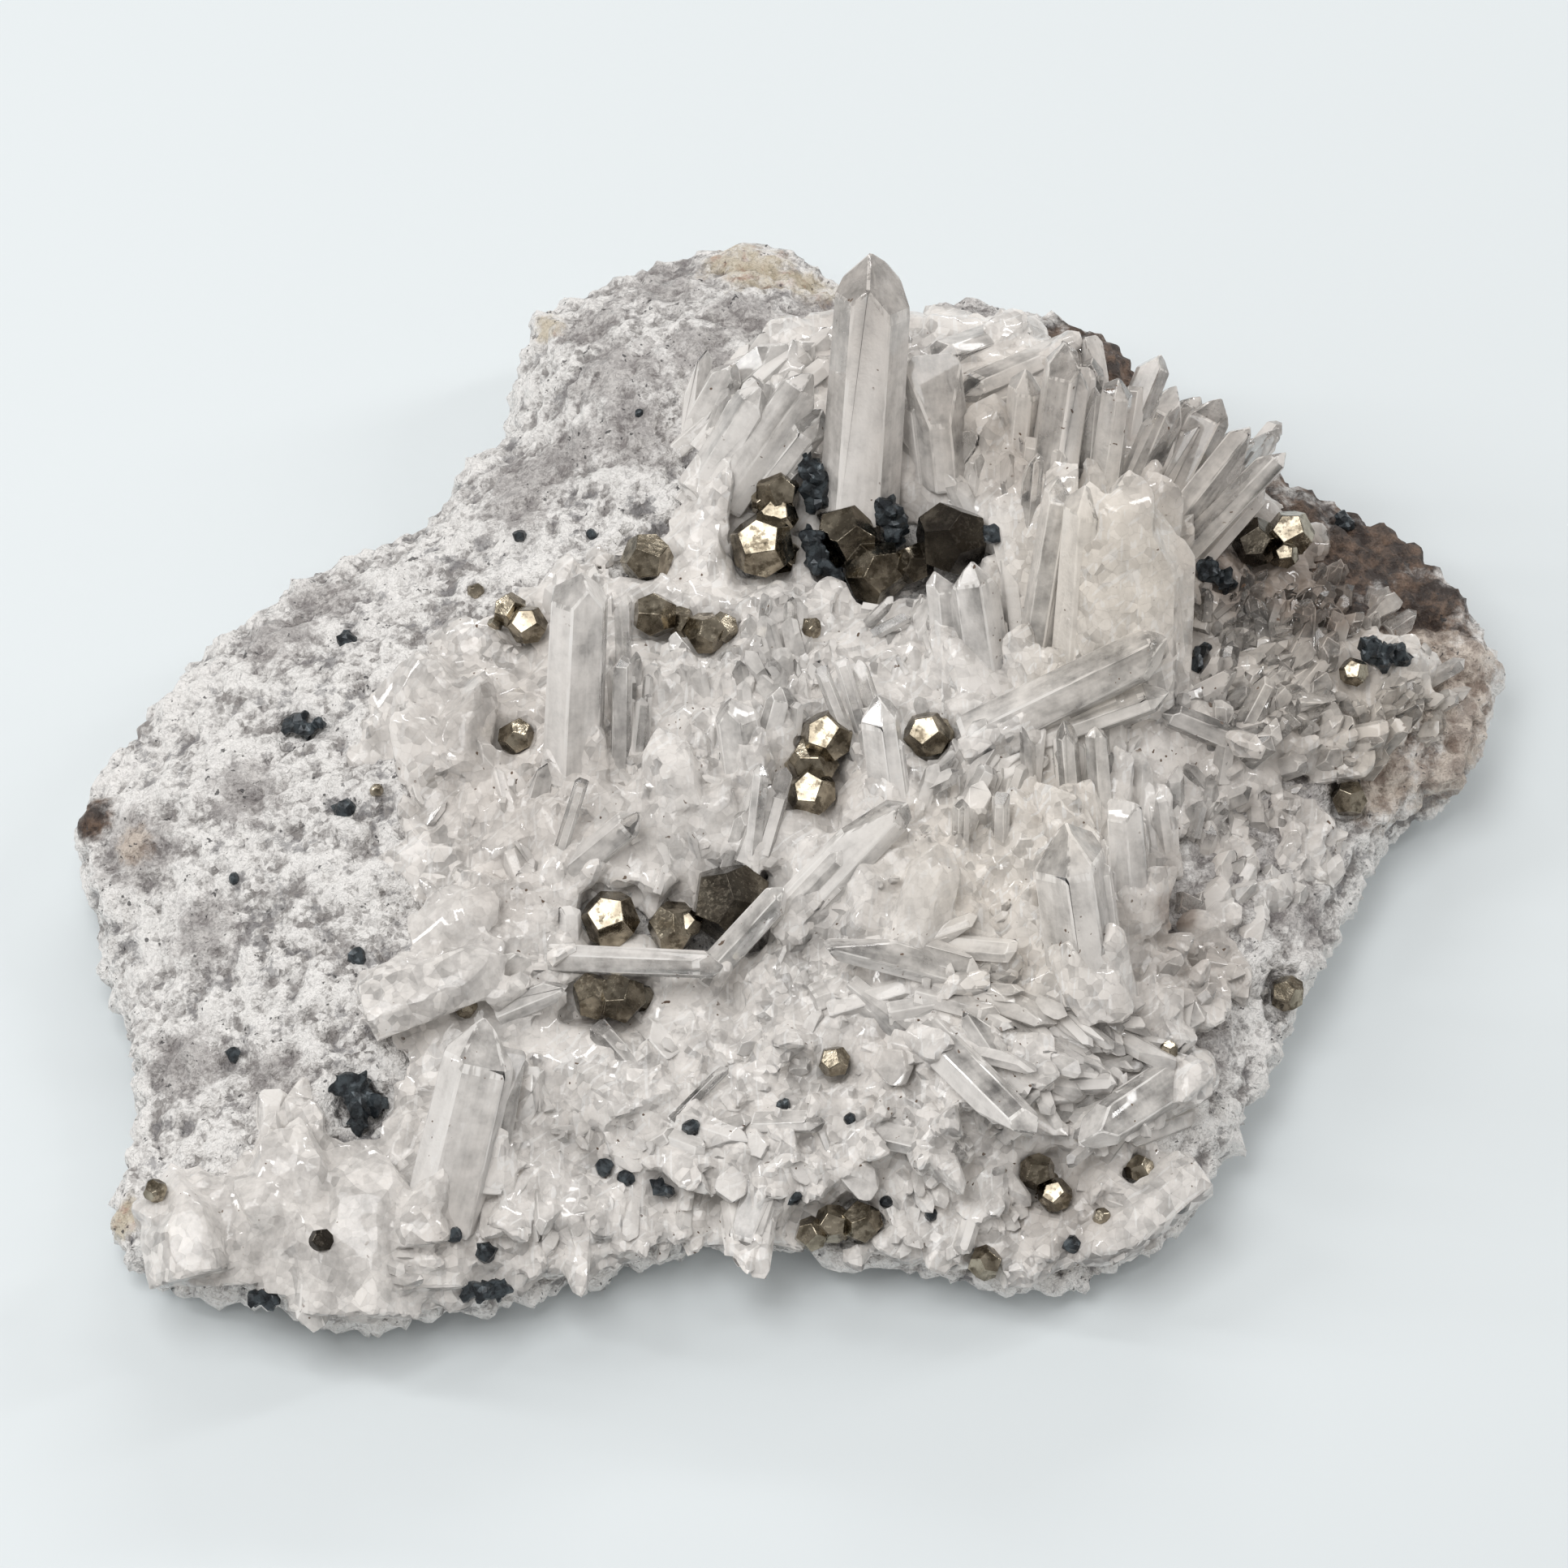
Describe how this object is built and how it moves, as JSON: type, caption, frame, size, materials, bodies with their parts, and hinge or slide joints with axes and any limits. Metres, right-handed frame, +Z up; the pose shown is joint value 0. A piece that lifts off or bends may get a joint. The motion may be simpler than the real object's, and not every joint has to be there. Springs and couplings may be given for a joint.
{
  "type": "pyrite on quartz mineral specimen",
  "caption": "Cabinet-size mineral specimen: a rock plate with a druse of clear quartz crystals that carries brassy pyrite crystals and dark sphalerite, lying on its flat broken base.",
  "frame": {"origin": "on the flat base, under the middle of the plate", "axes": "+X along the plate's long side, to the right as seen from the front; +Y to the back, where the rock is thickest; +Z up"},
  "size_m": [0.1617, 0.1453, 0.049],
  "materials": {
    "rock": "rough, sugary altered rock",
    "quartz": "clear to milky crystal, glossy faces",
    "pyrite": "bright metallic crystal faces",
    "sphalerite": "dark, resinous and glittering"
  },
  "bodies": {
    "root": {"rock_plate": "rock", "quartz_druse": "quartz", "sphalerite_at_spire": "sphalerite", "sphalerite_between_pyrites": "sphalerite", "sphalerite_on_pyrite": "sphalerite", "sphalerite_on_rock_left": "sphalerite", "sphalerite_front_left": "sphalerite", "sphalerite_right_gap": "sphalerite", "sphalerite_right_hollow": "sphalerite", "sphalerite_right_lobe": "sphalerite", "sphalerite_right_back": "sphalerite", "sphalerite_front_middle": "sphalerite", "sphalerite_front_edge": "sphalerite", "sphalerite_left_corner": "sphalerite", "pyrite_at_spire_left": "pyrite", "pyrite_at_spire_middle": "pyrite", "pyrite_back_left": "pyrite", "pyrite_back_middle": "pyrite", "pyrite_back_pair": "pyrite", "pyrite_at_blade_left": "pyrite", "pyrite_middle": "pyrite", "pyrite_middle_low": "pyrite", "pyrite_middle_right": "pyrite", "pyrite_blade_root": "pyrite", "pyrite_front_left": "pyrite", "pyrite_front_middle": "pyrite", "pyrite_under_bar": "pyrite", "pyrite_front_single": "pyrite", "pyrite_right": "pyrite", "pyrite_right_lobe": "pyrite", "pyrite_right_rim": "pyrite", "pyrite_right_low_rim": "pyrite", "pyrite_front_right": "pyrite", "pyrite_front_far_right": "pyrite", "pyrite_front_edge": "pyrite", "pyrite_front_corner": "pyrite"}
  },
  "joints": []
}
